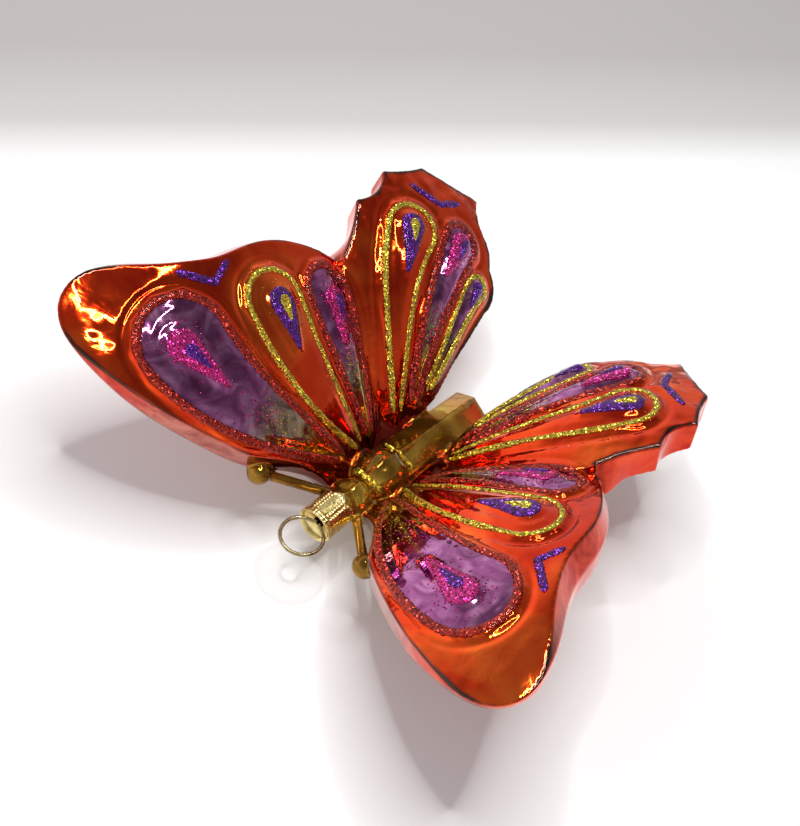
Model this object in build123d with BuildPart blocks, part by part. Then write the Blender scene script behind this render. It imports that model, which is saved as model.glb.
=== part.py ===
from build123d import *
from math import cos, pi, radians, sin, sqrt
import os

# A mould-blown glass butterfly: glass body and wings, crown cap, wire hanger and glitter eyespots.
# The body runs along Y with the head towards -Y, the wings rise to both sides of X,
# and the belly stands on Z = 0 under the middle of the wings.

os.makedirs("parts", exist_ok=True)

# Shell, in millimetres and degrees
dihedral = 33.5
root_height = 17.5
root_setback = 14.3
wing_above = 12.0
wing_below = 24.0
cell_depth = 9.0
wall = 1.2
relief = 0.7

# Glitter, and the room for its lines round each raised cell
glue = 0.03
bead = 0.5
line_margin = 1.8
round_sides = 10
tip_sides = 4
tip_radius = 2.0

# Body, measured from the wing root line
thorax_width = 17.0
thorax_top = 4.2
thorax_place = 2.0
head_width = 12.0
head_place = -10.0
head_lift = -3.8
shoulder_width = 8.4
abdomen_width = 13.6
abdomen_start = 6.6
abdomen_end = 46.0
abdomen_tip_width = 12.0
abdomen_ridge = 2.1
abdomen_tip_ridge = -3.0
eave_drop = 3.6
belly_width = 11.0
belly_chamfer = 3.0

# Antennae, measured from the wing root line
antenna_start = -12.0
antenna_ball = 7.1
antenna_rod = 3.0
antenna_spread = 20.0
antenna_reach = -29.5
antenna_lift = 5.5

# Neck, cap and hanger, along the neck axis
neck_lift = -1.0
cap_base = -15.5
cap_length = 11.2
cap_width = 10.9
cap_sheet = 0.4
cap_dish = 2.0
cap_clearance = 0.08
cap_hole = 3.4
cap_panels = 6
groove_width = 0.5
groove_depth = 0.2
band_height = 0.3
band_length = 1.8
hem_depth = 1.8
wire = 1.1
wire_sides = 6
loop_width = 12.2
loop_clearance = 0.25
leg_gap = 1.6
leg_bend = 1.0
leg_straight = 2.4
leg_length = 7.2
leg_clearance = 0.24

# Wing outlines in the wing plane: outward from the root line, then backward along the body
forewing_margin = [
    (2, -12), (14, -20.5), (23, -31.5), (33, -39.2), (44, -46), (56, -52), (66.5, -55.5), (76.5, -57.5),
    (83.6, -57.3), (89.5, -54), (92, -48.5), (91.6, -42), (88.6, -33), (84.5, -25), (80.2, -17), (77.2, -9),
    (75.8, -1), (73.6, 7.5), (68.6, 16.5), (62.5, 23.5), (56.5, 29),
]
forewing_root = [(56.5, 29), (40, 27), (20, 22), (2, 14), (2, -12)]
hindwing_margin = [
    (56.5, 29), (61, 36), (67.5, 44), (66.2, 51), (70, 58.5), (66.6, 65), (64.2, 72.5), (54.3, 79), (45.5, 86.2),
    (41.5, 80.5), (35.5, 79), (30, 76.5), (27, 73.5), (21.5, 71.8), (17.2, 63), (14, 53), (10.5, 43.5),
]
hindwing_root = [(10.5, 43.5), (5, 34), (2, 20), (2, 4), (25, 8), (44, 16), (56.5, 29)]

# Glass between the wings and the abdomen, in the wing plane
root_outline = [(0, 2), (25, 8), (24, 30), (10.5, 43.5), (5, 34), (0, 30)]
root_top = -8.0
root_under = -11.0

# Height in the wing plane and share of the forewing's outline there
rim_levels = [(-18, 0.86), (-7, 1.0), (8, 0.84)]

# Each wing with the centre of its crowned faces, and the height and radius of the upper and lower crown
forewing = {
    "centre": (50, -16),
    "top": (4.4, 115),
    "under": (13.5, 600),
}
hindwing = {
    "centre": (38, 50),
    "top": (3.6, 90),
    "under": (13.0, 400),
}

# Teardrops as rows of circles, from the round end to the point
forewing["cells"] = [
    [(62.5, -33.5, 12.8), (38, -26.5, 9), (9.5, -6, 0.6)],
    [(57.5, -2.4, 9.2), (34, -4, 6.6), (9, 2.2, 0.6)],
    [(51.5, 17, 7.2), (36, 13.2, 6.2), (9.5, 7.9, 0.6)],
]
forewing["eyes"] = [
    ("magenta", [(62, -35, 4.8), (46.5, -30.3, 0.8)]),
    ("purple", [(56.5, -1.5, 4.4), (43.5, -4.4, 0.8)]),
    ("magenta", [(48, 17, 4.0), (36.5, 12, 0.9)]),
]
hindwing["cells"] = [
    [(51.5, 52.5, 7.9), (36, 35, 4.4), (9, 20.8, 0.5)],
    [(39.3, 66, 6.4), (26, 42.5, 3.2), (8.5, 27, 0.5)],
    [(25.5, 63.5, 3.6), (21, 51.5, 2.4), (9.5, 32.5, 0.5)],
]
hindwing["eyes"] = [
    ("purple", [(52.5, 52.5, 4), (43, 42.2, 0.8)]),
    ("magenta", [(39.5, 65, 3.8), (35.2, 54, 0.9)]),
    ("purple", [(25.3, 63, 2.0), (22.6, 57, 0.7)]),
]

# Planes that the pieces are drawn on
slope = radians(dihedral)
root = Vector(0, -root_setback, root_height)
wing_plane = Plane(root, x_dir=(cos(slope), 0, sin(slope)), z_dir=(-sin(slope), 0, cos(slope)))
neck_plane = Plane(root + Vector(0, cap_base, neck_lift), x_dir=(1, 0, 0), z_dir=(0, -1, 0))
cell_plane = wing_plane.offset(-cell_depth)
neck_radius = cap_width / 2 - cap_sheet - cap_clearance
neck_length = cap_length - cap_dish - cap_sheet - cap_clearance


def crown(wing, face, grow=0):
    """Sphere whose skin is the upper (face 1) or lower (face -1) crown of a wing, grown outward."""
    height, radius = wing["top"] if face > 0 else wing["under"]
    u, v = wing["centre"]
    up = wing_plane.z_dir * face
    centre = wing_plane.from_local_coords(Vector(u, v, 0)) + up * (height - radius)
    with BuildPart() as ball:
        with Locations(Plane(centre, x_dir=up * -1, z_dir=wing_plane.x_dir)):
            Sphere(radius + grow)
    return ball.part


def scaled(wing, points, share):
    """Points of a wing's outline at a share of its size about the wing's centre."""
    u, v = wing["centre"]
    return [(u + (x - u) * share, v + (y - v) * share) for x, y in points]


def crowned(wing, side):
    """One wing between its crowned faces, cut from a solid with the wing's sides."""
    with BuildPart() as cushion:
        add(side)
        add(crown(wing, 1), mode=Mode.INTERSECT)
        add(crown(wing, -1), mode=Mode.INTERSECT)
    return cushion.part


def teardrop(circles, grow):
    """Sketch of the outline around a row of circles, two by two, so that it can bend."""
    for pair in zip(circles, circles[1:]):
        edges = []
        for u, v, radius in pair:
            with Locations((u, v)):
                sides = tip_sides if radius < tip_radius else round_sides
                edges += RegularPolygon(radius + grow, sides, mode=Mode.PRIVATE).edges()
        make_hull(edges)


def pad(wing, circles):
    """Raised glass cell, drawn out to the outer side of its glitter line."""
    with BuildPart() as cell:
        with BuildSketch(cell_plane):
            teardrop(circles, line_margin)
        extrude(amount=cell_depth + wing_above)
        add(crown(wing, 1, relief), mode=Mode.INTERSECT)
    return cell.part


def eyespot(wing, circles):
    """Glitter of one bead's thickness on a raised cell."""
    with BuildPart() as glitter:
        with BuildSketch(cell_plane):
            teardrop(circles, 0)
        extrude(amount=cell_depth + wing_above)
        add(crown(wing, 1, relief + bead), mode=Mode.INTERSECT)
        add(crown(wing, 1, relief + glue), mode=Mode.SUBTRACT)
    return glitter.part


def write(piece, name):
    piece.label = name
    export_step(piece, f"parts/{name}.step")


def thorax():
    """Upright barrel with a round top and a flat foot."""
    radius = thorax_width / 2
    middle = root + Vector(0, thorax_place, thorax_top - radius)
    with BuildPart() as barrel:
        with Locations(Plane(middle, x_dir=(0, 0, -1), z_dir=(1, 0, 0))):
            Sphere(radius)
        with Locations(middle):
            Cylinder(radius, root_height + thorax_top - radius, align=(Align.CENTER, Align.CENTER, Align.MAX))
    return barrel.part


def abdomen():
    """Roof-shaped abdomen with a straight ridge, a flat belly and a blunt end."""
    stations = [
        (abdomen_start, abdomen_width, abdomen_ridge),
        (abdomen_end, abdomen_tip_width, abdomen_tip_ridge),
    ]
    with BuildPart() as tail:
        for place, width, ridge in stations:
            half = width / 2
            floor = -root_height
            eave = ridge - eave_drop
            foot = belly_width / 2
            section = Plane(root + Vector(0, place, 0), x_dir=(1, 0, 0), z_dir=(0, -1, 0))
            with BuildSketch(section):
                with BuildLine():
                    Polyline(
                        (0, ridge), (half, eave), (half, floor + belly_chamfer), (foot, floor),
                        (-foot, floor), (-half, floor + belly_chamfer), (-half, eave), close=True,
                    )
                make_face()
        loft(ruled=True)
    return tail.part


def mirrored(piece):
    return mirror(piece, about=Plane.YZ, mode=Mode.PRIVATE)


# Sides of one forewing: a smooth margin, widest at mid height
with BuildPart() as forewing_side:
    for level, share in rim_levels:
        with BuildSketch(wing_plane.offset(level)):
            with BuildLine():
                Spline(*scaled(forewing, forewing_margin, share))
                Polyline(*scaled(forewing, forewing_root, share))
            make_face()
    loft(ruled=True)

# Sides of one hindwing: a margin of arcs from point to point
with BuildPart() as hindwing_side:
    with BuildSketch(wing_plane.offset(-wing_below)):
        with BuildLine():
            for first in range(0, len(hindwing_margin) - 1, 2):
                ThreePointArc(*hindwing_margin[first:first + 3])
            Polyline(*hindwing_root)
        make_face()
    extrude(amount=wing_above + wing_below)

# One side's wings with their raised cells
with BuildPart() as left_wings:
    add(crowned(forewing, forewing_side.part))
    add(crowned(hindwing, hindwing_side.part))
    with BuildSketch(wing_plane.offset(root_under)):
        with BuildLine():
            Polyline(*root_outline, close=True)
        make_face()
    extrude(amount=root_top - root_under)
    for wing in (forewing, hindwing):
        for circles in wing["cells"]:
            add(pad(wing, circles))

# Glass shell: one blown piece, open at the neck
ball_place = root + Vector(antenna_spread, antenna_reach, antenna_lift)
rod_start = root + Vector(head_width / 4, antenna_start, head_lift)

with BuildPart() as glass_shell:
    add(left_wings.part)
    with BuildSketch(Plane(rod_start, z_dir=ball_place - rod_start)):
        Circle(antenna_rod / 2)
    extrude(amount=(ball_place - rod_start).length)
    with Locations(Plane(ball_place, z_dir=ball_place - rod_start)):
        Sphere(antenna_ball / 2)
    mirror(about=Plane.YZ)
    add(thorax())
    add(abdomen())
    with Locations(Plane(root + Vector(0, head_place, head_lift), x_dir=(0, 0, -1), z_dir=(0, -1, 0))):
        Sphere(head_width / 2)
    with BuildSketch(neck_plane.offset(-cap_clearance)):
        Circle(cap_width / 2 + band_height + cap_clearance)
    extrude(amount=head_width, mode=Mode.SUBTRACT)
    with BuildSketch(neck_plane.offset(-cap_clearance)):
        Circle(neck_radius)
    with BuildSketch(Plane(root + Vector(0, head_place, head_lift), x_dir=(1, 0, 0), z_dir=(0, -1, 0))):
        Circle(shoulder_width / 2)
    loft(ruled=True)
    with BuildSketch(neck_plane.offset(-cap_clearance)):
        Circle(neck_radius)
    extrude(amount=neck_length + cap_clearance)
    with BuildSketch(neck_plane):
        Circle(neck_radius - wall)
    extrude(amount=neck_length, mode=Mode.SUBTRACT)
write(glass_shell.part, "glass_shell")

# Crown cap: stamped cup with a sunken top, a raised band, grooved panels and a pointed hem
cap_radius = cap_width / 2
hem_pitch = pi * cap_width / cap_panels
hem_planes = []
for index in range(cap_panels):
    angle = 2 * pi * index / cap_panels
    outward = neck_plane.x_dir * cos(angle) + neck_plane.y_dir * sin(angle)
    hem_planes.append(Plane(neck_plane.origin, x_dir=outward.cross(neck_plane.z_dir) * -1, z_dir=outward))

with BuildPart() as cap:
    with BuildSketch(neck_plane):
        Circle(cap_radius)
    extrude(amount=cap_length)
    with BuildSketch(neck_plane):
        with PolarLocations(cap_radius, cap_panels):
            Rectangle(2 * groove_depth, groove_width)
    extrude(amount=cap_length - band_length, mode=Mode.SUBTRACT)
    with BuildSketch(neck_plane.offset(cap_length - band_length)):
        Circle(cap_radius + band_height)
    extrude(amount=band_length)
    with BuildSketch(neck_plane):
        Circle(cap_radius - cap_sheet)
    extrude(amount=cap_length - cap_dish - cap_sheet, mode=Mode.SUBTRACT)
    with BuildSketch(neck_plane.offset(cap_length - cap_dish)):
        Circle(cap_radius - cap_sheet)
    extrude(amount=cap_dish, mode=Mode.SUBTRACT)
    with BuildSketch(neck_plane):
        Circle(cap_hole / 2)
    extrude(amount=cap_length, mode=Mode.SUBTRACT)
    with BuildSketch(*hem_planes):
        with BuildLine():
            Polyline((-hem_pitch / 2, 0), (hem_pitch / 2, 0), (0, hem_depth), close=True)
        make_face()
    extrude(amount=cap_width, mode=Mode.SUBTRACT)
write(cap.part, "cap")

# Hanger: a round loop above the cap, and two sprung legs through its hole into the neck
loop_radius = loop_width / 2
loop_centre = loop_clearance + wire / 2 + loop_radius - cap_dish
leg_side = leg_gap / 2
bend_side = leg_side + leg_bend
bend_height = loop_centre - sqrt((loop_radius + leg_bend) ** 2 - bend_side**2)
meet = loop_radius / (loop_radius + leg_bend)
meet_side = bend_side * meet
meet_height = loop_centre - (loop_centre - bend_height) * meet
half_turn = radians(45)
leg_side_end = neck_radius - wall - leg_clearance - wire / 2
hanger_plane = Plane(neck_plane.offset(cap_length).origin, x_dir=(1, 0, 0), z_dir=(0, 0, -1))

with BuildPart() as hanger_wire:
    with BuildLine(hanger_plane) as route:
        for side in (1, -1):
            FilletPolyline(
                (side * leg_side_end, bend_height - leg_length),
                (side * leg_side, bend_height - leg_straight),
                (side * leg_side, bend_height),
                radius=leg_straight,
            )
            ThreePointArc(
                (side * leg_side, bend_height),
                (side * (bend_side - leg_bend * cos(half_turn)), bend_height + leg_bend * sin(half_turn)),
                (side * meet_side, meet_height),
            )
        ThreePointArc(
            (meet_side, meet_height), (0, loop_centre + loop_radius), (-meet_side, meet_height)
        )
    with BuildSketch(Plane(route.wires()[0] @ 0, z_dir=route.wires()[0] % 0)):
        RegularPolygon(wire / 2, wire_sides)
    sweep(path=route.wires()[0])
write(hanger_wire.part, "hanger_wire")

# Glitter eyespots on the upper faces of all four wings, one node for each colour
eyespots = {}
for wing in (forewing, hindwing):
    for colour, circles in wing["eyes"]:
        left = eyespot(wing, circles)
        eyespots.setdefault(colour, []).extend([left, mirrored(left)])
for colour, pieces in eyespots.items():
    write(Compound(children=pieces), f"{colour}_eyespots")
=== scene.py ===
import math
import bmesh
import bpy
import numpy as np
from mathutils import Matrix, Vector, noise as field
from mathutils.bvhtree import BVHTree


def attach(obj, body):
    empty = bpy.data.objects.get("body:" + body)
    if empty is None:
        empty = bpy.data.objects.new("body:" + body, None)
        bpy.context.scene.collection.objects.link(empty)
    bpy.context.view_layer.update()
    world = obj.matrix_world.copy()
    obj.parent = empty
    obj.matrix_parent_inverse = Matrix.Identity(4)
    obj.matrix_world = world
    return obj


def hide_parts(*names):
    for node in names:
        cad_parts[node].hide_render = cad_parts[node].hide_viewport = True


# A blown-glass butterfly with red lacquer, lilac cells and glitter lines, on a white table.
# Lengths are millimetres here and become metres when a mesh is written.

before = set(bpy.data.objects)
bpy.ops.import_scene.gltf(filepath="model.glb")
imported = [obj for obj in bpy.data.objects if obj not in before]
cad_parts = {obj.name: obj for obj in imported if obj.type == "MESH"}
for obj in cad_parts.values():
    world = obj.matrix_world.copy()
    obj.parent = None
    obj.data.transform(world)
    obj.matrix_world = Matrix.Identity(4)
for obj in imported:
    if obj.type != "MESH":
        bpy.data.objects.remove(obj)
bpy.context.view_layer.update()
rng = np.random.default_rng(7)
MM = 0.001

# Wing plane of the part: u outward from the root line, v backward along the body, w up
SLOPE = math.radians(33.5)
ROOT_HEIGHT = 17.5
ROOT_SETBACK = 14.3

# Fineness of the glass and of the glitter
VOXEL = 0.42
SMOOTH_ROUNDS = 9
LINE_STEP = 0.5
BEAD = 0.5
SUNK = 0.3
GRAIN = 0.1

# Widths of the glitter lines
GOLD_WIDTH = 1.9
RED_WIDTH = 2.5
CHEVRON_WIDTH = 2.4
BODY_LINE_WIDTH = 1.5

# Body, from the root line: places along the body, heights and radii
THORAX = (2.0, -4.3, 8.5)
HEAD = (-10.0, -3.8, 6.0)
NECK_HEIGHT = -1.0
NECK_RADIUS = 4.97
ABDOMEN = (6.6, 46.0)
ABDOMEN_HALF = 6.5
RIDGE = (2.1, -3.0)
ANTENNA_START = (3.0, -12.0, -3.8)
ANTENNA_END = (20.0, -29.5, 5.5)
ANTENNA_ROD = 1.5
ANTENNA_BALL = 3.55

# Seam along the back and the eyes on the head: place across, along and up, radius and rise
SEAM_WIDTH = 0.7
SEAM_HEIGHT = 0.45
HEAD_EYE = (4.0, -12.0, -1.0)
HEAD_EYE_RADIUS = 2.6
HEAD_EYE_RISE = 0.7

# Relief of the wings: crown of a cell, groove round it, mound under an eyespot, waves of the glass
CELL_CROWN = 0.5
CELL_GROOVE = 0.35
GROOVE_AWAY = 3.2
GROOVE_SPREAD = 1.1
EYE_MOUND = 0.8
WAVE_SIZE = 9
WAVE_HEIGHT = 0.12
RIPPLE_SIZE = 4
RIPPLE_HEIGHT = 0.06
HINDWING_RIPPLE = 0.3

# Flakes: how many, how far they spread from the eyespot, and their size
EYE_FLAKES = (90, 1.8, 0.3)
CELL_FLAKES = (110, 0.26)
ROOT_FLAKES = (90, 0.24)
STRAY_FLAKES = (14, 2.5, 0.26)

# Cap and wire, along the neck from the cap's hem
CAP_BASE = -15.5
CAP_LENGTH = 11.2
CAP_RADIUS = 5.45
CAP_SHEET = 0.4
CAP_DISH = 2.0
CAP_HOLE = 1.7
CAP_PANELS = 6
CAP_BEADS = 30
GROOVE = 0.2
BEAD_RISE = 0.26
BAND = 1.8
HEM = 1.8
WIRE_RADIUS = 0.55
LOOP_RADIUS = 6.1
LOOP_LIFT = 0.25
LEG_SIDE = 0.8
LEG_BEND = 1.0
LEG_STRAIGHT = 2.4
LEG_LENGTH = 7.2
LEG_END = 2.98

# Cells as rows of circles (u, v, radius) from the round end to the point, with the colours of
# the line, of the fill, of the eyespot and of the spot in it
CELLS = [
    {
        "line": "red", "fill": "lilac",
        "drop": [(62.5, -33.5, 12.8), (38, -26.5, 9), (9.5, -6, 1.2)],
        "eye": ("magenta", [(62, -35, 4.8), (46.5, -30.3, 0.8)]),
        "pupil": ("purple", [(59.5, -34, 2.3), (53, -32.2, 0.6)]),
    },
    {
        "line": "gold", "fill": "red",
        "drop": [(57.5, -2.4, 9.2), (34, -4, 6.6), (9, 2.2, 1.4)],
        "eye": ("purple", [(56.5, -1.5, 4.4), (43.5, -4.4, 0.8)]),
        "pupil": ("gold", [(56.2, -1, 2.1), (51, -2.8, 0.6)]),
    },
    {
        "line": "red", "fill": "lilac",
        "drop": [(51.5, 17, 7.2), (36, 13.2, 6.2), (9.5, 7.9, 1.2)],
        "eye": ("magenta", [(48, 17, 4.0), (36.5, 12, 0.9)]),
        "pupil": ("purple", [(47.2, 18, 1.8), (41.5, 15.2, 0.6)]),
    },
    {
        "line": "gold", "fill": "red",
        "drop": [(51.5, 52.5, 7.9), (36, 35, 4.4), (9, 20.8, 1.2)],
        "eye": ("purple", [(52.5, 52.5, 4), (43, 42.2, 0.8)]),
        "pupil": ("gold", [(52.6, 53, 1.9), (49, 49.5, 0.6)]),
    },
    {
        "line": "red", "fill": "lilac",
        "drop": [(39.3, 66, 6.4), (26, 42.5, 3.2), (8.5, 27, 1.1)],
        "eye": ("magenta", [(39.5, 65, 3.8), (35.2, 54, 0.9)]),
        "pupil": ("purple", [(38.6, 65.6, 1.8), (36.4, 60, 0.6)]),
    },
    {
        "line": "gold", "fill": "lilac",
        "drop": [(25.5, 63.5, 3.6), (21, 51.5, 2.4), (9.5, 32.5, 1.0)],
        "eye": ("purple", [(25.3, 63, 2.0), (22.6, 57, 0.7)]),
        "pupil": None,
    },
]
CHEVRONS = [
    [(79, -23.5), (71, -15.5), (74, -8)],
    [(62.5, 63.2), (52.5, 68.3), (49, 76)],
]

# Outer margins of the wings, how far the forewing's rim is drawn out above its widest height, the
# hindwing's upper crown, and how far the hindwing's wall leans in below it
FOREWING_MARGIN = [
    (2, -12), (14, -20.5), (23, -31.5), (33, -39.2), (44, -46), (56, -52), (66.5, -55.5), (76.5, -57.5),
    (83.6, -57.3), (89.5, -54), (92, -48.5), (91.6, -42), (88.6, -33), (84.5, -25), (80.2, -17),
    (77.2, -9), (75.8, -1), (73.6, 7.5), (68.6, 16.5), (62.5, 23.5), (56.5, 29),
]
HINDWING_MARGIN = [
    (56.5, 29), (61, 36), (67.5, 44), (66.2, 51), (70, 58.5), (66.6, 65), (64.2, 72.5),
    (54.3, 79), (45.5, 86.2), (41.5, 80.5), (35.5, 79), (30, 76.5),
    (27, 73.5), (21.5, 71.8), (17.2, 63), (14, 53), (10.5, 43.5),
]
FOREWING_CENTRE = (50, -16)
WIDEST = -7.0
LEAN = 0.1 / 15
HINDWING_CENTRE = (38, 50)
HINDWING_TOP = (3.6, 90)
DRAFT = 0.45


def to_wing(points):
    """Wing-plane u, v and w of points in metres, with both sides folded onto the right one."""
    across = np.abs(points[:, 0]) / MM
    rise = points[:, 2] / MM - ROOT_HEIGHT
    u = across * math.cos(SLOPE) + rise * math.sin(SLOPE)
    w = rise * math.cos(SLOPE) - across * math.sin(SLOPE)
    return u, points[:, 1] / MM + ROOT_SETBACK, w


def from_wing(u, v, w, side):
    """Point in metres on the right (side 1) or left (side -1) wing."""
    across = u * math.cos(SLOPE) - w * math.sin(SLOPE)
    rise = u * math.sin(SLOPE) + w * math.cos(SLOPE) + ROOT_HEIGHT
    return Vector((side * across, v - ROOT_SETBACK, rise)) * MM


def wing_up(side):
    return Vector((-side * math.sin(SLOPE), 0, math.cos(SLOPE)))


def smooth_step(low, high, value):
    share = np.clip((value - low) / (high - low), 0, 1)
    return share * share * (3 - 2 * share)


def chain(circles, count=16):
    """Circles along a smooth curve through a row of two or three circles."""
    row = np.array(circles, float)
    t = np.linspace(0, 1, count)[:, None]
    if len(row) == 2:
        return row[0] * (1 - t) + row[1] * t
    middle = 2 * row[1] - (row[0] + row[2]) / 2
    return row[0] * (1 - t) ** 2 + middle * 2 * t * (1 - t) + row[2] * t ** 2


def drop_distance(u, v, circles):
    """Distance of points to the outline around a chain of circles, negative inside."""
    found = np.full(u.shape, np.inf)
    row = chain(circles)
    for (au, av, ar), (bu, bv, br) in zip(row, row[1:]):
        du = bu - au
        dv = bv - av
        along = np.clip(((u - au) * du + (v - av) * dv) / (du * du + dv * dv), 0, 1)
        away = np.hypot(u - au - along * du, v - av - along * dv)
        found = np.minimum(found, away - ar - along * (br - ar))
    return found


def outline(circles):
    """Path round a chain of circles, from the point round the big end and back."""
    row = chain(circles, 60)
    tangent = np.gradient(row[:, :2], axis=0)
    length = np.hypot(tangent[:, 0], tangent[:, 1])
    tangent /= length[:, None]
    normal = np.stack([-tangent[:, 1], tangent[:, 0]], axis=1)
    lean = np.clip(-np.gradient(row[:, 2]) / length, -0.95, 0.95)
    radius = row[:, 2:]
    left = row[:, :2] + radius * (lean[:, None] * tangent + np.sqrt(1 - lean ** 2)[:, None] * normal)
    right = row[:, :2] + radius * (lean[:, None] * tangent - np.sqrt(1 - lean ** 2)[:, None] * normal)
    sweep = np.linspace(math.acos(lean[0]), 2 * math.pi - math.acos(lean[0]), 40)[1:-1]
    cap = row[0, :2] + row[0, 2] * (
        np.cos(sweep)[:, None] * tangent[0] + np.sin(sweep)[:, None] * normal[0]
    )
    return np.concatenate([left[::-1], cap, right])


def resample(path, step):
    path = np.asarray(path, float)
    gaps = np.hypot(*np.diff(path, axis=0).T)
    keep = np.concatenate([[True], gaps > 1e-6])
    path = path[keep]
    run = np.concatenate([[0], np.cumsum(np.hypot(*np.diff(path, axis=0).T))])
    places = np.linspace(0, run[-1], max(int(run[-1] / step), 4) + 1)
    return np.stack([np.interp(places, run, path[:, i]) for i in (0, 1)], axis=1)


def body_distance(points):
    """Distance in millimetres of points in metres to the head, thorax, abdomen, neck and antennae."""
    x = np.abs(points[:, 0]) / MM
    y = points[:, 1] / MM + ROOT_SETBACK
    z = points[:, 2] / MM - ROOT_HEIGHT
    place, height, radius = THORAX
    thorax = np.hypot(np.hypot(x, y - place), np.maximum(z - height, 0)) - radius
    place, height, radius = HEAD
    head = np.sqrt(x ** 2 + (y - place) ** 2 + (z - height) ** 2) - radius
    neck_ends = np.maximum(y - place, CAP_BASE - CAP_LENGTH - y)
    neck = np.maximum(np.hypot(x, z - NECK_HEIGHT) - NECK_RADIUS, neck_ends)
    share = (y - ABDOMEN[0]) / (ABDOMEN[1] - ABDOMEN[0])
    roof = (z - RIDGE[0] - (RIDGE[1] - RIDGE[0]) * share + x * 0.55) * 0.87
    tail = np.maximum(np.maximum(x - ABDOMEN_HALF, roof), np.maximum(y - ABDOMEN[1], ABDOMEN[0] - y))
    first = np.array(ANTENNA_START)
    run = np.array(ANTENNA_END) - first
    spot = np.stack([x, y, z], axis=1)
    along = np.clip((spot - first) @ run / (run @ run), 0, 1)
    rod = np.linalg.norm(spot - first - along[:, None] * run, axis=1) - ANTENNA_ROD
    ball = np.linalg.norm(spot - np.array(ANTENNA_END), axis=1) - ANTENNA_BALL
    antenna = np.minimum(rod, ball)
    return np.minimum.reduce([thorax, head, neck, tail, antenna])


def link(name, mesh, material):
    made = bpy.data.objects.new(name, mesh)
    mesh.materials.clear()
    mesh.materials.append(material)
    bpy.context.collection.objects.link(made)
    return made


def write_mesh(name, verts, faces, material):
    mesh = bpy.data.meshes.new(name)
    mesh.from_pydata([tuple(v) for v in verts], [], faces)
    mesh.validate()
    mesh.polygons.foreach_set("use_smooth", [True] * len(mesh.polygons))
    shape = bmesh.new()
    shape.from_mesh(mesh)
    bmesh.ops.recalc_face_normals(shape, faces=shape.faces)
    shape.to_mesh(mesh)
    shape.free()
    return link(name, mesh, material)


# Materials
def add_node(tree, kind, values=None, **settings):
    made = tree.nodes.new(kind)
    for name, value in settings.items():
        setattr(made, name, value)
    for key, value in (values or {}).items():
        if isinstance(value, bpy.types.NodeSocket):
            tree.links.new(value, made.inputs[key])
        else:
            made.inputs[key].default_value = value
    return made


def ramp(tree, factor, stops):
    made = add_node(tree, "ShaderNodeValToRGB", {0: factor})
    elements = made.color_ramp.elements
    while len(elements) < len(stops):
        elements.new(1)
    for element, (place, colour) in zip(elements, stops):
        element.position = place
        element.color = (*colour, 1)
    return made.outputs[0]


def noise(tree, coords, scale, detail=3, distortion=0):
    values = {"Vector": coords, "Scale": scale, "Detail": detail, "Distortion": distortion}
    return add_node(tree, "ShaderNodeTexNoise", values).outputs[0]


def blend(tree, share, first, second):
    made = add_node(tree, "ShaderNodeMix", data_type="RGBA")
    for key, value in ((0, share), (6, first), (7, second)):
        if isinstance(value, bpy.types.NodeSocket):
            tree.links.new(value, made.inputs[key])
        else:
            made.inputs[key].default_value = (*value, 1)
    return made.outputs[2]


def math_node(tree, operation, first, second):
    return add_node(tree, "ShaderNodeMath", {0: first, 1: second}, operation=operation).outputs[0]


def new_material(name):
    material = bpy.data.materials.new(name)
    material.use_nodes = True
    tree = material.node_tree
    shader = tree.nodes["Principled BSDF"]
    coords = add_node(tree, "ShaderNodeTexCoord").outputs["Object"]
    return material, tree, shader, coords


def connect(tree, shader, values):
    for key, value in values.items():
        if isinstance(value, bpy.types.NodeSocket):
            tree.links.new(value, shader.inputs[key])
        else:
            shader.inputs[key].default_value = value


MASKS = ("lilac", "silver", "amber", "painted_root_shade", "bronze", "edge", "rim")


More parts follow.
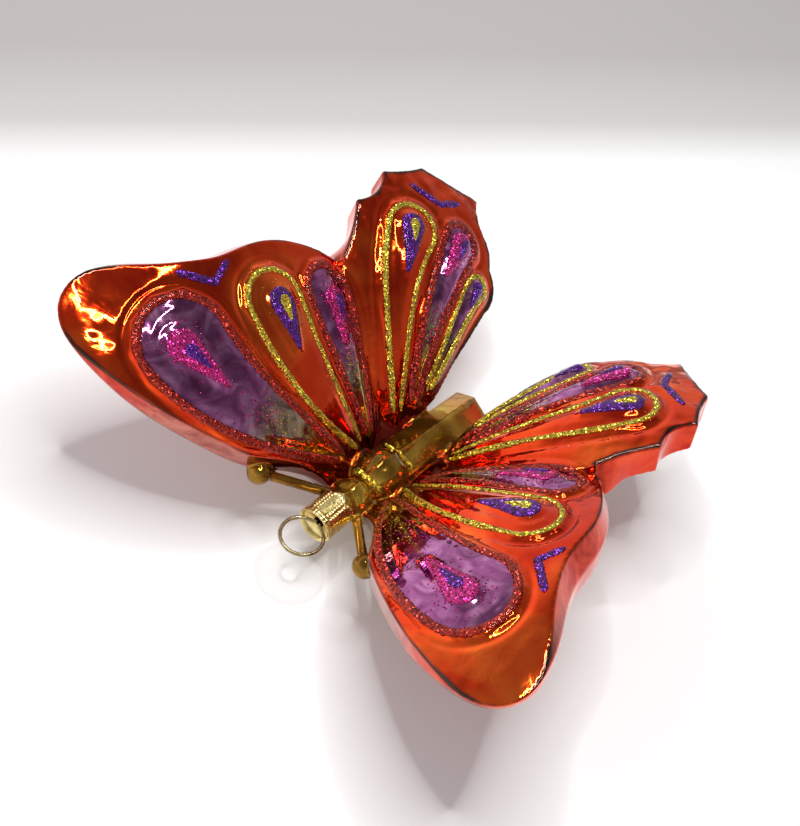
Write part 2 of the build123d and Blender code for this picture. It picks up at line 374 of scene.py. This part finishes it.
def lacquered_glass():
    """Silvered glass under clear lacquers, with the colour of each region from the painted masks,
    painted shade at the wing roots among them.
    """
    material, tree, shader, coords = new_material("lacquered_glass")
    mask = {}
    for name in MASKS:
        mask[name] = add_node(tree, "ShaderNodeAttribute", attribute_name=name).outputs["Fac"]
    cloud = noise(tree, coords, 45, 4, 0.6)
    streak = noise(tree, coords, 130, 3, 1.5)
    red = ramp(tree, cloud, [
        (0.3, (0.62, 0.018, 0.002)), (0.5, (0.85, 0.06, 0.006)), (0.7, (0.96, 0.15, 0.018)),
    ])
    lilac = ramp(tree, streak, [
        (0.3, (0.2, 0.045, 0.14)), (0.5, (0.36, 0.1, 0.28)), (0.75, (0.62, 0.27, 0.5)),
    ])
    silver = ramp(tree, streak, [(0.35, (0.13, 0.07, 0.045)), (0.65, (0.5, 0.36, 0.26))])
    amber = ramp(tree, streak, [(0.35, (0.38, 0.1, 0.01)), (0.65, (0.62, 0.34, 0.03))])
    bronze = ramp(tree, cloud, [
        (0.32, (0.1, 0.04, 0.004)), (0.5, (0.34, 0.17, 0.015)), (0.68, (0.7, 0.44, 0.06)),
    ])
    rim = ramp(tree, streak, [(0.35, (0.5, 0.015, 0.006)), (0.7, (0.75, 0.07, 0.025))])
    colour = blend(tree, mask["rim"], red, rim)
    colour = blend(tree, mask["lilac"], colour, lilac)
    colour = blend(tree, mask["silver"], colour, silver)
    colour = blend(tree, mask["amber"], colour, amber)
    # painted shade: the wing roots beside the body turned dark red, standing in for the shade there
    colour = blend(tree, mask["painted_root_shade"], colour, (0.1, 0.004, 0.002))
    colour = blend(tree, mask["bronze"], colour, bronze)
    colour = blend(tree, mask["edge"], colour, (0.06, 0.035, 0.03))
    wave = add_node(tree, "ShaderNodeBump", {
        "Strength": 0.15, "Distance": 0.0006, "Height": noise(tree, coords, 190, 2, 0.8),
    }).outputs[0]
    dull = math_node(tree, "MULTIPLY", streak, 0.14)
    dull = math_node(tree, "ADD", dull, math_node(tree, "MULTIPLY", mask["bronze"], 0.03))
    plain = math_node(tree, "MULTIPLY", mask["bronze"], 0.12)
    connect(tree, shader, {
        "Base Color": colour,
        "Metallic": math_node(tree, "SUBTRACT", 1.0, plain),
        "Roughness": dull,
        "Normal": wave,
        "Coat Weight": 0.2,
        "Coat Roughness": 0.02,
    })
    return material


def glitter(name, dark, bright, flake=0.42):
    """Small metal flakes, each with its own tilt and shade."""
    material, tree, shader, coords = new_material(name)
    cells = add_node(tree, "ShaderNodeTexVoronoi", {"Vector": coords, "Scale": 1 / (flake * MM)})
    tilt = add_node(tree, "ShaderNodeVectorMath", {
        0: cells.outputs["Color"], 1: (0.5, 0.5, 0.5),
    }, operation="SUBTRACT").outputs[0]
    facing = add_node(tree, "ShaderNodeNewGeometry").outputs["Normal"]
    leaning = add_node(tree, "ShaderNodeVectorMath", {
        0: tilt, 1: (1.3, 1.3, 1.3), 2: facing,
    }, operation="MULTIPLY_ADD").outputs[0]
    normal = add_node(tree, "ShaderNodeVectorMath", {0: leaning}, operation="NORMALIZE").outputs[0]
    shade = add_node(tree, "ShaderNodeSeparateColor", {0: cells.outputs["Color"]}).outputs[0]
    connect(tree, shader, {
        "Base Color": ramp(tree, shade, [(0.15, dark), (0.85, bright)]),
        "Metallic": 0.85,
        "Roughness": 0.22,
        "Normal": normal,
        "Coat Weight": 0.3,
    })
    return material


def brass(name, dark, bright, dents):
    material, tree, shader, coords = new_material(name)
    stain = noise(tree, coords, 420, 4)
    fine = noise(tree, coords, 1500, 2)
    connect(tree, shader, {
        "Base Color": ramp(tree, stain, [(0.3, dark), (0.65, bright)]),
        "Metallic": 1.0,
        "Roughness": math_node(tree, "MULTIPLY", fine, 0.5),
        "Normal": add_node(tree, "ShaderNodeBump", {
            "Strength": dents, "Distance": 0.0002, "Height": stain,
        }).outputs[0],
    })
    return material


glass_look = lacquered_glass()
looks = {
    "gold": glitter("gold_glitter", (0.3, 0.2, 0.01), (0.95, 0.78, 0.08)),
    "red": glitter("red_glitter", (0.16, 0.006, 0.004), (0.6, 0.05, 0.03)),
    "magenta": glitter("magenta_glitter", (0.26, 0.004, 0.08), (0.85, 0.05, 0.34)),
    "purple": glitter("purple_glitter", (0.045, 0.005, 0.11), (0.19, 0.035, 0.4)),
}
cap_look = brass("stamped_gold", (0.62, 0.44, 0.12), (0.9, 0.75, 0.36), 0.2)
wire_look = brass("drawn_wire", (0.2, 0.15, 0.07), (0.44, 0.36, 0.21), 0.02)


# Glass: the part's shell made again from fine cells, its edges softened and its faces moulded
def fine_shell():
    rough = bpy.data.objects.new("shell_source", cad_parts["glass_shell"].data.copy())
    bpy.context.collection.objects.link(rough)
    weld = rough.modifiers.new("weld", "WELD")
    weld.merge_threshold = 1e-6
    remesh = rough.modifiers.new("remesh", "REMESH")
    remesh.mode = "VOXEL"
    remesh.voxel_size = VOXEL * MM
    remesh.use_smooth_shade = True
    soften = rough.modifiers.new("soften", "SMOOTH")
    soften.factor = 0.5
    soften.iterations = SMOOTH_ROUNDS
    evaluated = rough.evaluated_get(bpy.context.evaluated_depsgraph_get())
    mesh = bpy.data.meshes.new_from_object(evaluated)
    bpy.data.objects.remove(rough)
    return mesh


def read_points(mesh):
    points = np.empty(3 * len(mesh.vertices))
    mesh.vertices.foreach_get("co", points)
    normals = np.empty(3 * len(mesh.vertices))
    mesh.vertex_normals.foreach_get("vector", normals)
    return points.reshape(-1, 3), normals.reshape(-1, 3)


def margin_distance(u, v, margin):
    """Distance of points to a line through a wing's margin points."""
    found = np.full(u.shape, np.inf)
    for (au, av), (bu, bv) in zip(margin, margin[1:]):
        du = bu - au
        dv = bv - av
        along = np.clip(((u - au) * du + (v - av) * dv) / (du * du + dv * dv), 0, 1)
        found = np.minimum(found, np.hypot(u - au - along * du, v - av - along * dv))
    return found


def slide(points, du, dv):
    """Moves points in the wing plane, alike on both sides."""
    points[:, 0] += np.sign(points[:, 0]) * du * math.cos(SLOPE) * MM
    points[:, 1] += dv * MM
    points[:, 2] += du * math.sin(SLOPE) * MM


def fuller_rim(points):
    """Forewing rims drawn out above their widest height, so that the wall there is steeper."""
    u, v, w = to_wing(points)
    share = 1 - LEAN * np.maximum(w - WIDEST, 0)
    full_u = FOREWING_CENTRE[0] + (u - FOREWING_CENTRE[0]) / share
    full_v = FOREWING_CENTRE[1] + (v - FOREWING_CENTRE[1]) / share
    near = smooth_step(7, 1, margin_distance(full_u, full_v, FOREWING_MARGIN))
    near *= smooth_step(20, 30, u) * smooth_step(86, 76, u) * smooth_step(30, 22, v)
    slide(points, (full_u - u) * near, (full_v - v) * near)


def leaning_wall(points):
    """Hindwing walls drawn in below the upper rim, as they leave a mould."""
    u, v, w = to_wing(points)
    inward_u = HINDWING_CENTRE[0] - u
    inward_v = HINDWING_CENTRE[1] - v
    away = np.clip(np.hypot(inward_u, inward_v), 1, HINDWING_TOP[1] - 1)
    crown = HINDWING_TOP[0] - HINDWING_TOP[1] + np.sqrt(HINDWING_TOP[1] ** 2 - away ** 2)
    depth = np.clip(crown - w - 1, 0, 14)
    near = smooth_step(12, 3, margin_distance(u, v, HINDWING_MARGIN))
    near *= smooth_step(28, 38, v) * smooth_step(10, 18, u)
    share = DRAFT * depth * near / away
    slide(points, inward_u * share, inward_v * share)


shell = fine_shell()
points, normals = read_points(shell)
fuller_rim(points)
leaning_wall(points)
shell.vertices.foreach_set("co", points.ravel())
shell.update()
points, normals = read_points(shell)
u, v, w = to_wing(points)
facing = normals[:, 2] * math.cos(SLOPE) - np.abs(normals[:, 0]) * np.sign(
    normals[:, 0] * points[:, 0]
) * math.sin(SLOPE)
body = smooth_step(0.9, 0.3, body_distance(points))
upper = smooth_step(0.25, 0.7, facing) * (1 - body)
lower = smooth_step(0.25, 0.7, -facing) * (1 - body)

cell_distance = [drop_distance(u, v, cell["drop"]) for cell in CELLS]
eye_distance = [drop_distance(u, v, cell["eye"][1]) for cell in CELLS]
lift = np.zeros(len(points))
for inside, near_eye in zip(cell_distance, eye_distance):
    lift += CELL_CROWN * smooth_step(-0.5, -4, inside)
    lift -= CELL_GROOVE * np.exp(-((inside - GROOVE_AWAY) / GROOVE_SPREAD) ** 2)
    lift += EYE_MOUND * smooth_step(2.0, -1.5, near_eye)
waves = np.array([field.noise(Vector(p) / (WAVE_SIZE * MM)) for p in points])
ripples = np.array([field.noise(Vector(p) / (RIPPLE_SIZE * MM) + Vector((40, 0, 0))) for p in points])
loose = smooth_step(2, 7, np.minimum.reduce(cell_distance)) * smooth_step(24, 40, u)
ripple_height = RIPPLE_HEIGHT + HINDWING_RIPPLE * smooth_step(28, 36, v)
lift += WAVE_HEIGHT * waves + ripple_height * loose * ripples
beside = np.abs(points[:, 0]) / MM
above_neck = points[:, 2] / MM - ROOT_HEIGHT - NECK_HEIGHT
seam = SEAM_HEIGHT * np.exp(-(beside / SEAM_WIDTH) ** 2) * smooth_step(0, 0.5, normals[:, 2])
seam *= smooth_step(1, 3, above_neck)
eye_away = np.sqrt(
    (beside - HEAD_EYE[0]) ** 2
    + (v - HEAD_EYE[1]) ** 2
    + (points[:, 2] / MM - ROOT_HEIGHT - HEAD_EYE[2]) ** 2
)
seam += HEAD_EYE_RISE * smooth_step(HEAD_EYE_RADIUS + 0.6, HEAD_EYE_RADIUS - 1.4, eye_away)
points += normals * ((lift * upper + seam * body) * MM)[:, None]
shell.vertices.foreach_set("co", points.ravel())
shell.update()

masks = {name: np.zeros(len(points)) for name in MASKS}
painted = np.maximum(upper, lower)
for cell, inside in zip(CELLS, cell_distance):
    if cell["fill"] != "lilac":
        continue
    fill = smooth_step(0.4, -0.4, inside) * painted
    big = np.array(cell["drop"][0][:2])
    tip = np.array(cell["drop"][-1][:2])
    axis = (big - tip) / np.dot(big - tip, big - tip)
    along = (u - tip[0]) * axis[0] + (v - tip[1]) * axis[1]
    masks["lilac"] = np.maximum(masks["lilac"], fill)
    masks["silver"] = np.maximum(masks["silver"], fill * smooth_step(0.62, 0.4, along))
    masks["amber"] = np.maximum(masks["amber"], fill * smooth_step(0.36, 0.14, along))
# painted shade: dark red on the wings near the body, fading out between u 9 and 24 mm and weaker in the
# lilac cells
masks["painted_root_shade"] = 0.85 * smooth_step(24, 9, u) * (1 - body) * (1 - 0.8 * masks["lilac"])
tail = smooth_step(34, 44, v) * body
masks["bronze"] = body * (1 - 0.55 * tail)
masks["silver"] = np.maximum(masks["silver"], 0.8 * tail)
masks["rim"] = smooth_step(0.5, 0.15, np.abs(facing)) * (1 - body)
rim_away = np.minimum(margin_distance(u, v, FOREWING_MARGIN), margin_distance(u, v, HINDWING_MARGIN))
masks["edge"] = smooth_step(1.5, 0.6, rim_away) * smooth_step(0.1, 0.4, facing) * (1 - body)
leading = smooth_step(-0.4, -0.8, normals[:, 1]) * smooth_step(62, 45, u)
masks["silver"] = np.maximum(masks["silver"], 0.4 * masks["rim"] * leading)
for name, values in masks.items():
    layer = shell.attributes.new(name, "FLOAT", "POINT")
    layer.data.foreach_set("value", values.astype(np.float32))
glass = link("glass", shell, glass_look)
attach(glass, "shell")
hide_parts("glass_shell")

shell_tree = BVHTree.FromObject(glass, bpy.context.evaluated_depsgraph_get())


# Glitter: closed ribbons and lens-shaped patches that follow the glass
class Strips:
    """Vertices and faces of many closed pieces."""

    def __init__(self):
        self.verts = []
        self.faces = []

    def ribbon(self, place, path, width, taper=4):
        """Ribbon along a path of places on the glass, with a rounded top and its foot in the glass."""
        path = resample(path, LINE_STEP)
        tangent = np.gradient(path, axis=0)
        tangent /= np.hypot(tangent[:, 0], tangent[:, 1])[:, None]
        across = np.stack([-tangent[:, 1], tangent[:, 0]], axis=1)
        shares = [-1, -0.7, -0.25, 0.25, 0.7, 1, 0.6, -0.6]
        rings = []
        for index, (spot, way) in enumerate(zip(path, across)):
            near_end = min(index, len(path) - 1 - index) / taper
            half = width / 2 * min(1, 0.45 + 0.55 * near_end) * (1 + rng.uniform(-0.12, 0.12))
            ring = []
            for number, share in enumerate(shares):
                found = place(*(spot + way * share * half))
                if found is None:
                    break
                point, normal = found
                height = BEAD * (1 - share ** 2) + rng.uniform(-GRAIN, GRAIN) if number < 6 else -SUNK
                ring.append(point + normal * height * MM)
            if len(ring) == len(shares):
                rings.append(ring)
        self.tube(rings)

    def tube(self, rings):
        """Closed tube over rings of equally many points."""
        if len(rings) < 3:
            return
        start = len(self.verts)
        count = len(rings[0])
        for ring in rings:
            self.verts.extend(ring)
        for index in range(len(rings) - 1):
            base = start + index * count
            for j in range(count):
                k = (j + 1) % count
                self.faces.append((base + j, base + k, base + count + k, base + count + j))
        self.faces.append(tuple(start + j for j in range(count))[::-1])
        last = start + (len(rings) - 1) * count
        self.faces.append(tuple(last + j for j in range(count)))

    def patch(self, place, circles, height):
        """Lens-shaped patch over a row of circles."""
        row = chain(circles, 40)
        axis = row[-1, :2] - row[0, :2]
        length = np.hypot(*axis)
        axis /= length
        normal = np.array([-axis[1], axis[0]])
        along = (row[:, :2] - row[0, :2]) @ axis
        ends = np.linspace(-row[0, 2] * 0.995, length + row[-1, 2] * 0.98, int(length / LINE_STEP) + 14)
        rings = []
        shares = [-1, -0.85, -0.6, -0.3, 0, 0.3, 0.6, 0.85, 1, 0.7, 0, -0.7]
        for end in ends:
            room = row[:, 2] ** 2 - (end - along) ** 2
            half = math.sqrt(max(room.max(), 0.01))
            half *= 1 + rng.uniform(-0.06, 0.06)
            ring = []
            for number, share in enumerate(shares):
                spot = row[0, :2] + axis * end + normal * share * half
                found = place(*spot)
                if found is None:
                    break
                point, up = found
                top = height * (1 - share ** 4) * min(1, half) + rng.uniform(-GRAIN, GRAIN)
                ring.append(point + up * (top if number < 9 else -SUNK) * MM)
            if len(ring) == len(shares):
                rings.append(ring)
        self.tube(rings)

    def flakes(self, place, spots, size):
        """Single flakes strewn on the glass, as flat eight-faced grains."""
        for spot in spots:
            found = place(*spot)
            if found is None:
                continue
            point, up = found
            side = up.orthogonal().normalized()
            other = up.cross(side)
            turn = rng.uniform(0, math.pi)
            first = side * math.cos(turn) + other * math.sin(turn)
            second = up.cross(first)
            lean = first * rng.uniform(-0.4, 0.4) + second * rng.uniform(-0.4, 0.4)
            top = (up + lean).normalized() * 0.45
            start = len(self.verts)
            reach = size * MM * rng.uniform(0.7, 1.2)
            middle = point + up * 0.1 * MM
            for offset in (first, second, -first, -second, top, -top):
                self.verts.append(middle + offset * reach)
            for j in range(4):
                k = (j + 1) % 4
                self.faces.append((start + j, start + k, start + 4))
                self.faces.append((start + k, start + j, start + 5))


def on_wing(side, face):
    """Finder of the glass under a place in the wing plane, from above (face 1) or below (face -1)."""
    up = wing_up(side) * face

    def place(u, v):
        start = from_wing(u, v, 45 * face, side)
        point, normal, _, _ = shell_tree.ray_cast(start, -up)
        if point is None or normal.dot(up) < 0.1:
            return None
        return point, normal

    return place


def on_body(x, y):
    """Glass under a place above the body, measured from the root line."""
    start = Vector((x, y - ROOT_SETBACK, 80)) * MM
    point, normal, _, _ = shell_tree.ray_cast(start, Vector((0, 0, -1)))
    return None if point is None else (point, normal)


def strewn(cell, count, spread):
    """Places of flakes scattered round a cell's eyespot, inside the cell."""
    u, v, radius = cell["eye"][1][0]
    angle = rng.uniform(0, 2 * math.pi, count)
    reach = radius + rng.exponential(spread, count)
    found = np.stack([u + reach * np.cos(angle), v + reach * np.sin(angle)], axis=1)
    return found[drop_distance(found[:, 0], found[:, 1], cell["drop"]) < -1.2]


def along_cell(cell, count, low, high):
    """Places of flakes scattered over part of a cell's length, counted from its round end."""
    row = chain(cell["drop"], 60)
    found = row[rng.integers(int(60 * low), int(60 * high), count)]
    return found[:, :2] + rng.normal(0, 0.35, (count, 2)) * found[:, 2:]


lines = {"gold": Strips(), "red": Strips()}
spots = {"magenta": Strips(), "purple": Strips()}
pupils = {"gold": Strips(), "purple": Strips()}
marks = Strips()
dust = {"magenta": Strips(), "gold": Strips()}
for side in (1, -1):
    for face in (1, -1):
        place = on_wing(side, face)
        for cell in CELLS:
            width = GOLD_WIDTH if cell["line"] == "gold" else RED_WIDTH
            lines[cell["line"]].ribbon(place, outline(cell["drop"]), width)
            colour, circles = cell["eye"]
            spots[colour].patch(place, circles, BEAD)
            if colour in dust:
                count, spread, size = EYE_FLAKES
                dust[colour].flakes(place, strewn(cell, count, spread), size)
                count, size = CELL_FLAKES
                dust[colour].flakes(place, along_cell(cell, count, 0.4, 0.68), size)
                count, size = ROOT_FLAKES
                dust["gold"].flakes(place, along_cell(cell, count, 0.56, 0.8), size)
            if cell["line"] == "gold":
                count, spread, size = STRAY_FLAKES
                dust["gold"].flakes(place, strewn(cell, count, spread), size)
            if cell["pupil"]:
                colour, circles = cell["pupil"]
                pupils[colour].patch(place, circles, BEAD + 0.35)
        for chevron in CHEVRONS:
            marks.ribbon(place, chevron, CHEVRON_WIDTH, taper=3)
for y in (-4.8, 9.0):
    lines["gold"].ribbon(on_body, [(-5.5, y + 1), (0, y), (5.5, y + 1)], BODY_LINE_WIDTH, taper=2)

for colour, strips in lines.items():
    piece = write_mesh(f"{colour}_lines", strips.verts, strips.faces, looks[colour])
    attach(piece, "shell")
for colour, strips in spots.items():
    piece = write_mesh(f"{colour}_spots", strips.verts, strips.faces, looks[colour])
    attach(piece, "shell")
    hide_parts(f"{colour}_eyespots")
for colour, strips in pupils.items():
    piece = write_mesh(f"{colour}_pupils", strips.verts, strips.faces, looks[colour])
    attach(piece, "shell")
for colour, strips in dust.items():
    piece = write_mesh(f"{colour}_flakes", strips.verts, strips.faces, looks[colour])
    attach(piece, "shell")
piece = write_mesh("purple_chevrons", marks.verts, marks.faces, looks["purple"])
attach(piece, "shell")

# Cap: a stamped cup with a beaded band, beaded panels and a pointed hem
def neck_point(x, along, up):
    """Point in metres, along the neck from the cap's hem."""
    return Vector((x, CAP_BASE - ROOT_SETBACK - along, ROOT_HEIGHT + NECK_HEIGHT + up)) * MM


def cap_mesh(turns=360, rows=60):
    pitch = 2 * math.pi / CAP_PANELS
    inner = CAP_RADIUS - CAP_SHEET
    floor = CAP_LENGTH - CAP_DISH
    verts = []
    for turn in range(turns):
        angle = 2 * math.pi * turn / turns
        from_groove = abs((angle + pitch / 2) % pitch - pitch / 2)
        hem = HEM * (1 - 2 * from_groove / pitch)
        groove = -GROOVE * math.exp(-(from_groove / 0.045) ** 2)
        border = math.exp(-((from_groove - 0.13) / 0.055) ** 2)
        round_bead = 0.5 + 0.5 * math.cos(CAP_BEADS * angle)
        profile = []
        for row in range(rows):
            along = hem + (CAP_LENGTH - hem) * row / (rows - 1)
            side_bead = 0.5 + 0.5 * math.cos(2 * math.pi * along / 0.95)
            hem_bead = math.exp(-((along - hem - 0.7) / 0.32) ** 2) * round_bead
            panel = groove + BEAD_RISE * max(border * side_bead, hem_bead)
            rows_of_beads = sum(math.exp(-((along - CAP_LENGTH + b) / 0.34) ** 2) for b in (0.45, 1.35))
            band = math.exp(-((along - CAP_LENGTH + BAND / 2) / (BAND / 2)) ** 6)
            band_rise = 0.04 + BEAD_RISE * rows_of_beads * (0.3 + 0.7 * round_bead)
            rise = band * band_rise + (1 - band) * panel
            profile.append((CAP_RADIUS - 0.03 + rise, along))
        profile += [
            (inner, CAP_LENGTH), (inner, floor + 0.5), (inner - 0.5, floor), (CAP_HOLE, floor),
            (CAP_HOLE, floor - CAP_SHEET), (inner, floor - CAP_SHEET), (inner, hem),
        ]
        for radius, along in profile:
            verts.append(neck_point(radius * math.cos(angle), along, radius * math.sin(angle)))
    count = len(verts) // turns
    faces = []
    for turn in range(turns):
        base = turn * count
        following = (turn + 1) % turns * count
        for j in range(count):
            k = (j + 1) % count
            faces.append((base + j, base + k, following + k, following + j))
    return verts, faces


cap = write_mesh("stamped_cap", *cap_mesh(), cap_look)
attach(cap, "cap")
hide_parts("cap")


# Wire: two sprung legs through the cap's hole and a round loop above it
def wire_route():
    """Points across and along the neck, from one leg's end over the loop to the other's."""
    centre = CAP_LENGTH + LOOP_LIFT + WIRE_RADIUS + LOOP_RADIUS - CAP_DISH
    bend_side = LEG_SIDE + LEG_BEND
    bend = centre - math.sqrt((LOOP_RADIUS + LEG_BEND) ** 2 - bend_side ** 2)
    turn = math.atan2(bend_side, centre - bend)
    half = [(LEG_END, bend - LEG_LENGTH)]
    for t in np.linspace(0, 1, 7):
        spread = LEG_SIDE + (LEG_END - LEG_SIDE) * 0.25 * (1 - t) ** 2
        half.append((spread, bend - LEG_STRAIGHT * (1 - t) - 1.2 * (1 - t)))
    for t in np.linspace(0.1, 1, 8):
        angle = t * (math.pi / 2 - turn)
        half.append((bend_side - LEG_BEND * math.cos(angle), bend + LEG_BEND * math.sin(angle)))
    for t in np.linspace(turn, math.pi, 60)[1:]:
        half.append((LOOP_RADIUS * math.sin(t), centre - LOOP_RADIUS * math.cos(t)))
    return half + [(-x, along) for x, along in half[-2::-1]]


def wire_rings(sides=12):
    route = np.array(wire_route())
    tangent = np.gradient(route, axis=0)
    tangent /= np.hypot(tangent[:, 0], tangent[:, 1])[:, None]
    rings = []
    for (x, along), (dx, da) in zip(route, tangent):
        ring = []
        for j in range(sides):
            angle = 2 * math.pi * j / sides
            out = WIRE_RADIUS * math.cos(angle)
            ring.append(neck_point(x - da * out, along + dx * out, WIRE_RADIUS * math.sin(angle)))
        rings.append(ring)
    return rings


wire_strip = Strips()
wire_strip.tube(wire_rings())
wire = write_mesh("wire_loop", wire_strip.verts, wire_strip.faces, wire_look)
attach(wire, "hanger")
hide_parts("hanger_wire")

# Table: white, with painted shade greying it towards the back of the picture
floor_material, floor_tree, floor_shader, floor_coords = new_material("white_table_painted_shade")
SHADE_TURN = math.radians(-53.4)
SHADE_START = 0.0875
SHADE_END = 0.19
away = add_node(floor_tree, "ShaderNodeMapping", {
    "Vector": floor_coords, "Rotation": (0, 0, SHADE_TURN),
}).outputs[0]
depth = add_node(floor_tree, "ShaderNodeSeparateXYZ", {0: away}).outputs[1]
# painted shade: the white table's colour greyed from 0.98 down to about 0.5 towards the back, where
# less light reaches
painted_shade = add_node(floor_tree, "ShaderNodeMapRange", {0: depth, 1: SHADE_START, 2: SHADE_END}).outputs[0]
connect(floor_tree, floor_shader, {
    "Base Color": ramp(floor_tree, painted_shade, [
        (0.25, (0.98, 0.98, 0.98)), (0.42, (0.92, 0.92, 0.92)),
        (0.6, (0.61, 0.6, 0.59)), (0.95, (0.5, 0.47, 0.47)),
    ]),
    "Roughness": 0.6,
})
shape = bmesh.new()
bmesh.ops.create_circle(shape, cap_ends=True, segments=96, radius=4)
floor_mesh = bpy.data.meshes.new("table")
shape.to_mesh(floor_mesh)
shape.free()
table = link("table", floor_mesh, floor_material)


# Light: pale walls, and a ring of short strip lamps under a dark ceiling
RING_HEIGHT = 0.62
RING_RADIUS = 0.14
RING_CENTRE = (-0.04, 0.03)
RING_LAMPS = 20
STRIP_WIDTH = 0.014
STRIP_POWER = 0.15
for index in range(RING_LAMPS):
    angle = 2 * math.pi * index / RING_LAMPS
    lamp = bpy.data.lights.new(f"strip_{index}", "AREA")
    lamp.shape = "RECTANGLE"
    lamp.size = 2 * math.pi * RING_RADIUS / RING_LAMPS
    lamp.size_y = STRIP_WIDTH
    lamp.energy = STRIP_POWER
    strip = bpy.data.objects.new(lamp.name, lamp)
    strip.location = (
        RING_CENTRE[0] + RING_RADIUS * math.cos(angle),
        RING_CENTRE[1] + RING_RADIUS * math.sin(angle),
        RING_HEIGHT,
    )
    strip.rotation_euler = (0, 0, angle + math.pi / 2)
    bpy.context.collection.objects.link(strip)

ROOM_TURN = math.radians(-41)
ROOM_STRENGTH = 1.2
world = bpy.data.worlds.new("room")
bpy.context.scene.world = world
world.use_nodes = True
room = world.node_tree
background = room.nodes["Background"]
way = add_node(room, "ShaderNodeTexCoord").outputs["Generated"]
height = add_node(room, "ShaderNodeSeparateXYZ", {0: way}).outputs[2]
walls = ramp(room, height, [(0, (1, 1, 1)), (0.4, (0.9, 0.9, 0.89)), (0.8, (0.3, 0.3, 0.3))])
turned = add_node(room, "ShaderNodeMapping", {
    "Vector": way, "Rotation": (0, 0, ROOM_TURN),
}).outputs[0]
across = add_node(room, "ShaderNodeSeparateXYZ", {0: turned}).outputs[0]
sides = add_node(room, "ShaderNodeMapRange", {0: across, 1: -0.5, 2: 0.8, 3: 1.0, 4: 0.35}).outputs[0]
shaded = add_node(room, "ShaderNodeVectorMath", {0: walls, 1: sides}, operation="MULTIPLY").outputs[0]
connect(room, background, {"Color": shaded, "Strength": ROOM_STRENGTH})

# Camera at the photograph's angle
stand = Vector((127.21, -283.34, 419.71)) * MM
right = Vector((0.73299, 0.64512, 0.21575))
up = Vector((-0.62600, 0.51560, 0.58505))
ahead = Vector((-0.26619, 0.56390, -0.78177))
camera = bpy.data.cameras.new("camera")
camera.lens = 76.44
camera.sensor_width = 36
viewer = bpy.data.objects.new("camera", camera)
viewer.matrix_world = Matrix((
    (right.x, up.x, -ahead.x, stand.x),
    (right.y, up.y, -ahead.y, stand.y),
    (right.z, up.z, -ahead.z, stand.z),
    (0, 0, 0, 1),
))
bpy.context.collection.objects.link(viewer)
bpy.context.scene.camera = viewer

bpy.context.scene.view_settings.view_transform = "Standard"
